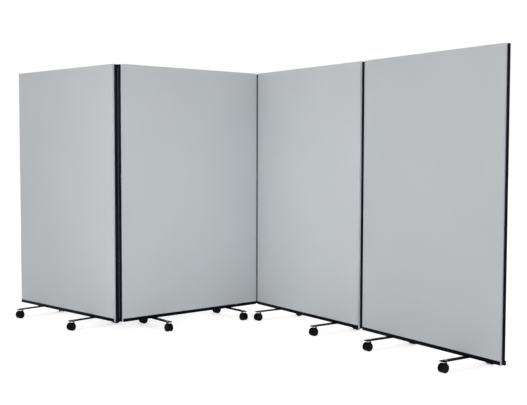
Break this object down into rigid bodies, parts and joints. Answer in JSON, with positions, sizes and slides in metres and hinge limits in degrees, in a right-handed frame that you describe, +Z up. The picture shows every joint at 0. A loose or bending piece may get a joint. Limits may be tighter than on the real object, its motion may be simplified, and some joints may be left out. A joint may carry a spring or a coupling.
{
  "type": "rolling partition",
  "caption": "Free-standing folding room divider: fabric panels joined by two-pin hinges, on flat cross feet with twin-wheel swivel casters.",
  "frame": {"origin": "on the floor, under the middle of the overall box of the row as it stands in the picture", "axes": "+X along the row from its left end to its right end as seen from the front, +Y from the viewer's side to the back, +Z up"},
  "size_m": [3.9718, 1.483, 1.901],
  "materials": {
    "fabric": "matte",
    "timber": "matte",
    "aluminium": "satin",
    "hinge_black": "gloss",
    "rail_black": "satin",
    "steel_black": "satin",
    "caster_black": "satin",
    "wheel_black": "satin"
  },
  "bodies": {
    "panel_1": {"panel_1_core": "timber", "panel_1_boards": "fabric", "panel_1_channels": "aluminium", "panel_1_posts": "hinge_black", "panel_1_rail": "rail_black", "panel_1_feet": "steel_black"},
    "panel_2": {"panel_2_core": "timber", "panel_2_boards": "fabric", "panel_2_channels": "aluminium", "panel_2_posts": "hinge_black", "panel_2_rail": "rail_black", "panel_2_feet": "steel_black"},
    "panel_3": {"panel_3_core": "timber", "panel_3_boards": "fabric", "panel_3_channels": "aluminium", "panel_3_posts": "hinge_black", "panel_3_rail": "rail_black", "panel_3_feet": "steel_black"},
    "panel_4": {"panel_4_core": "timber", "panel_4_boards": "fabric", "panel_4_channels": "aluminium", "panel_4_posts": "hinge_black", "panel_4_rail": "rail_black", "panel_4_feet": "steel_black"},
    "link_1": {"link_1": "hinge_black"},
    "link_2": {"link_2": "hinge_black"},
    "link_3": {"link_3": "hinge_black"},
    "caster_1_left_front_body": {"caster_1_left_front_body": "caster_black"},
    "caster_1_left_front_wheels": {"caster_1_left_front_wheels": "wheel_black"},
    "caster_1_left_back_body": {"caster_1_left_back_body": "caster_black"},
    "caster_1_left_back_wheels": {"caster_1_left_back_wheels": "wheel_black"},
    "caster_1_right_front_body": {"caster_1_right_front_body": "caster_black"},
    "caster_1_right_front_wheels": {"caster_1_right_front_wheels": "wheel_black"},
    "caster_1_right_back_body": {"caster_1_right_back_body": "caster_black"},
    "caster_1_right_back_wheels": {"caster_1_right_back_wheels": "wheel_black"},
    "caster_2_left_front_body": {"caster_2_left_front_body": "caster_black"},
    "caster_2_left_front_wheels": {"caster_2_left_front_wheels": "wheel_black"},
    "caster_2_left_back_body": {"caster_2_left_back_body": "caster_black"},
    "caster_2_left_back_wheels": {"caster_2_left_back_wheels": "wheel_black"},
    "caster_2_right_front_body": {"caster_2_right_front_body": "caster_black"},
    "caster_2_right_front_wheels": {"caster_2_right_front_wheels": "wheel_black"},
    "caster_2_right_back_body": {"caster_2_right_back_body": "caster_black"},
    "caster_2_right_back_wheels": {"caster_2_right_back_wheels": "wheel_black"},
    "caster_3_left_front_body": {"caster_3_left_front_body": "caster_black"},
    "caster_3_left_front_wheels": {"caster_3_left_front_wheels": "wheel_black"},
    "caster_3_left_back_body": {"caster_3_left_back_body": "caster_black"},
    "caster_3_left_back_wheels": {"caster_3_left_back_wheels": "wheel_black"},
    "caster_3_right_front_body": {"caster_3_right_front_body": "caster_black"},
    "caster_3_right_front_wheels": {"caster_3_right_front_wheels": "wheel_black"},
    "caster_3_right_back_body": {"caster_3_right_back_body": "caster_black"},
    "caster_3_right_back_wheels": {"caster_3_right_back_wheels": "wheel_black"},
    "caster_4_left_front_body": {"caster_4_left_front_body": "caster_black"},
    "caster_4_left_front_wheels": {"caster_4_left_front_wheels": "wheel_black"},
    "caster_4_left_back_body": {"caster_4_left_back_body": "caster_black"},
    "caster_4_left_back_wheels": {"caster_4_left_back_wheels": "wheel_black"},
    "caster_4_right_front_body": {"caster_4_right_front_body": "caster_black"},
    "caster_4_right_front_wheels": {"caster_4_right_front_wheels": "wheel_black"},
    "caster_4_right_back_body": {"caster_4_right_back_body": "caster_black"},
    "caster_4_right_back_wheels": {"caster_4_right_back_wheels": "wheel_black"}
  },
  "joints": [
    {"name": "hinge_1_2_a", "type": "hinge", "parent": "link_1", "child": "panel_1", "pos_m": [-0.75505, -0.56588, 0.9505], "axis": [0, 0, -1], "range_deg": [-91.5, 8.5]},
    {"name": "hinge_1_2_b", "type": "hinge", "parent": "panel_2", "child": "link_1", "pos_m": [-0.73191, -0.55197, 0.9505], "axis": [0, 0, -1], "range_deg": [-91.5, 8.5]},
    {"name": "hinge_2_3_a", "type": "hinge", "parent": "link_2", "child": "panel_2", "pos_m": [-0.35993, 0.62777, 0.9505], "axis": [0, 0, 1], "range_deg": [-97.25, 2.75]},
    {"name": "hinge_2_3_b", "type": "hinge", "parent": "link_2", "child": "panel_3", "pos_m": [-0.33551, 0.63929, 0.9505], "axis": [0, 0, -1], "range_deg": [-97.25, 2.75]},
    {"name": "hinge_3_4_a", "type": "hinge", "parent": "panel_3", "child": "link_3", "pos_m": [0.81141, 0.1759, 0.9505], "axis": [0, 0, 1], "range_deg": [-49.25, 50.75]},
    {"name": "hinge_3_4_b", "type": "hinge", "parent": "link_3", "child": "panel_4", "pos_m": [0.83631, 0.16546, 0.9505], "axis": [0, 0, 1], "range_deg": [-49.25, 50.75]},
    {"name": "caster_1_left_front_swivel", "type": "hinge", "parent": "panel_1", "child": "caster_1_left_front_body", "pos_m": [-1.73123, -0.56497, 0.061], "axis": [0, 0, 1], "continuous": true},
    {"name": "caster_1_left_front_roll", "type": "hinge", "parent": "caster_1_left_front_body", "child": "caster_1_left_front_wheels", "pos_m": [-1.73506, -0.58562, 0.0285], "axis": [-0.9833, 0.1822, 0], "continuous": true},
    {"name": "caster_1_left_back_swivel", "type": "hinge", "parent": "panel_1", "child": "caster_1_left_back_body", "pos_m": [-1.66672, -0.2169, 0.061], "axis": [0, 0, 1], "continuous": true},
    {"name": "caster_1_left_back_roll", "type": "hinge", "parent": "caster_1_left_back_body", "child": "caster_1_left_back_wheels", "pos_m": [-1.68144, -0.20192, 0.0285], "axis": [0.7133, 0.7009, 0], "continuous": true},
    {"name": "caster_1_right_front_swivel", "type": "hinge", "parent": "panel_1", "child": "caster_1_right_front_body", "pos_m": [-1.05967, -0.68944, 0.061], "axis": [0, 0, 1], "continuous": true},
    {"name": "caster_1_right_front_roll", "type": "hinge", "parent": "caster_1_right_front_body", "child": "caster_1_right_front_wheels", "pos_m": [-1.0635, -0.71008, 0.0285], "axis": [-0.9833, 0.1822, 0], "continuous": true},
    {"name": "caster_1_right_back_swivel", "type": "hinge", "parent": "panel_1", "child": "caster_1_right_back_body", "pos_m": [-0.99516, -0.34136, 0.061], "axis": [0, 0, 1], "continuous": true},
    {"name": "caster_1_right_back_roll", "type": "hinge", "parent": "caster_1_right_back_body", "child": "caster_1_right_back_wheels", "pos_m": [-0.99133, -0.32072, 0.0285], "axis": [0.9833, -0.1822, 0], "continuous": true},
    {"name": "caster_2_left_front_swivel", "type": "hinge", "parent": "panel_2", "child": "caster_2_left_front_body", "pos_m": [-0.4798, -0.34102, 0.061], "axis": [0, 0, 1], "continuous": true},
    {"name": "caster_2_left_front_roll", "type": "hinge", "parent": "caster_2_left_front_body", "child": "caster_2_left_front_wheels", "pos_m": [-0.45978, -0.34733, 0.0285], "axis": [-0.3007, -0.9537, 0], "continuous": true},
    {"name": "caster_2_left_back_swivel", "type": "hinge", "parent": "panel_2", "child": "caster_2_left_back_body", "pos_m": [-0.81742, -0.23457, 0.061], "axis": [0, 0, 1], "continuous": true},
    {"name": "caster_2_left_back_roll", "type": "hinge", "parent": "caster_2_left_back_body", "child": "caster_2_left_back_wheels", "pos_m": [-0.8111, -0.21454, 0.0285], "axis": [0.9537, -0.3007, 0], "continuous": true},
    {"name": "caster_2_right_front_swivel", "type": "hinge", "parent": "panel_2", "child": "caster_2_right_front_body", "pos_m": [-0.27442, 0.31037, 0.061], "axis": [0, 0, 1], "continuous": true},
    {"name": "caster_2_right_front_roll", "type": "hinge", "parent": "caster_2_right_front_body", "child": "caster_2_right_front_wheels", "pos_m": [-0.25439, 0.30406, 0.0285], "axis": [-0.3007, -0.9537, 0], "continuous": true},
    {"name": "caster_2_right_back_swivel", "type": "hinge", "parent": "panel_2", "child": "caster_2_right_back_body", "pos_m": [-0.61204, 0.41682, 0.061], "axis": [0, 0, 1], "continuous": true},
    {"name": "caster_2_right_back_roll", "type": "hinge", "parent": "caster_2_right_back_body", "child": "caster_2_right_back_wheels", "pos_m": [-0.60572, 0.43685, 0.0285], "axis": [0.9537, -0.3007, 0], "continuous": true},
    {"name": "caster_3_left_front_swivel", "type": "hinge", "parent": "panel_3", "child": "caster_3_left_front_body", "pos_m": [-0.14499, 0.37141, 0.061], "axis": [0, 0, 1], "continuous": true},
    {"name": "caster_3_left_front_roll", "type": "hinge", "parent": "caster_3_left_front_body", "child": "caster_3_left_front_wheels", "pos_m": [-0.15286, 0.35194, 0.0285], "axis": [-0.9272, 0.3746, 0], "continuous": true},
    {"name": "caster_3_left_back_swivel", "type": "hinge", "parent": "panel_3", "child": "caster_3_left_back_body", "pos_m": [-0.01238, 0.69964, 0.061], "axis": [0, 0, 1], "continuous": true},
    {"name": "caster_3_left_back_roll", "type": "hinge", "parent": "caster_3_left_back_body", "child": "caster_3_left_back_wheels", "pos_m": [0.00842, 0.70256, 0.0285], "axis": [0.1392, -0.9903, 0], "continuous": true},
    {"name": "caster_3_right_front_swivel", "type": "hinge", "parent": "panel_3", "child": "caster_3_right_front_body", "pos_m": [0.48828, 0.11556, 0.061], "axis": [0, 0, 1], "continuous": true},
    {"name": "caster_3_right_front_roll", "type": "hinge", "parent": "caster_3_right_front_body", "child": "caster_3_right_front_wheels", "pos_m": [0.48041, 0.09609, 0.0285], "axis": [-0.9272, 0.3746, 0], "continuous": true},
    {"name": "caster_3_right_back_swivel", "type": "hinge", "parent": "panel_3", "child": "caster_3_right_back_body", "pos_m": [0.62089, 0.44378, 0.061], "axis": [0, 0, 1], "continuous": true},
    {"name": "caster_3_right_back_roll", "type": "hinge", "parent": "caster_3_right_back_body", "child": "caster_3_right_back_wheels", "pos_m": [0.62875, 0.46325, 0.0285], "axis": [0.9272, -0.3746, 0], "continuous": true},
    {"name": "caster_4_left_front_swivel", "type": "hinge", "parent": "panel_4", "child": "caster_4_left_front_body", "pos_m": [1.01976, -0.10731, 0.061], "axis": [0, 0, 1], "continuous": true},
    {"name": "caster_4_left_front_roll", "type": "hinge", "parent": "caster_4_left_front_body", "child": "caster_4_left_front_wheels", "pos_m": [1.01139, -0.12657, 0.0285], "axis": [-0.9171, 0.3987, 0], "continuous": true},
    {"name": "caster_4_left_back_swivel", "type": "hinge", "parent": "panel_4", "child": "caster_4_left_back_body", "pos_m": [1.16092, 0.21733, 0.061], "axis": [0, 0, 1], "continuous": true},
    {"name": "caster_4_left_back_roll", "type": "hinge", "parent": "caster_4_left_back_body", "child": "caster_4_left_back_wheels", "pos_m": [1.16929, 0.23659, 0.0285], "axis": [0.9171, -0.3987, 0], "continuous": true},
    {"name": "caster_4_right_front_swivel", "type": "hinge", "parent": "panel_4", "child": "caster_4_right_front_body", "pos_m": [1.64611, -0.37966, 0.061], "axis": [0, 0, 1], "continuous": true},
    {"name": "caster_4_right_front_roll", "type": "hinge", "parent": "caster_4_right_front_body", "child": "caster_4_right_front_wheels", "pos_m": [1.63774, -0.39891, 0.0285], "axis": [-0.9171, 0.3987, 0], "continuous": true},
    {"name": "caster_4_right_back_swivel", "type": "hinge", "parent": "panel_4", "child": "caster_4_right_back_body", "pos_m": [1.78727, -0.05502, 0.061], "axis": [0, 0, 1], "continuous": true},
    {"name": "caster_4_right_back_roll", "type": "hinge", "parent": "caster_4_right_back_body", "child": "caster_4_right_back_wheels", "pos_m": [1.79564, -0.03576, 0.0285], "axis": [0.9171, -0.3987, 0], "continuous": true}
  ]
}
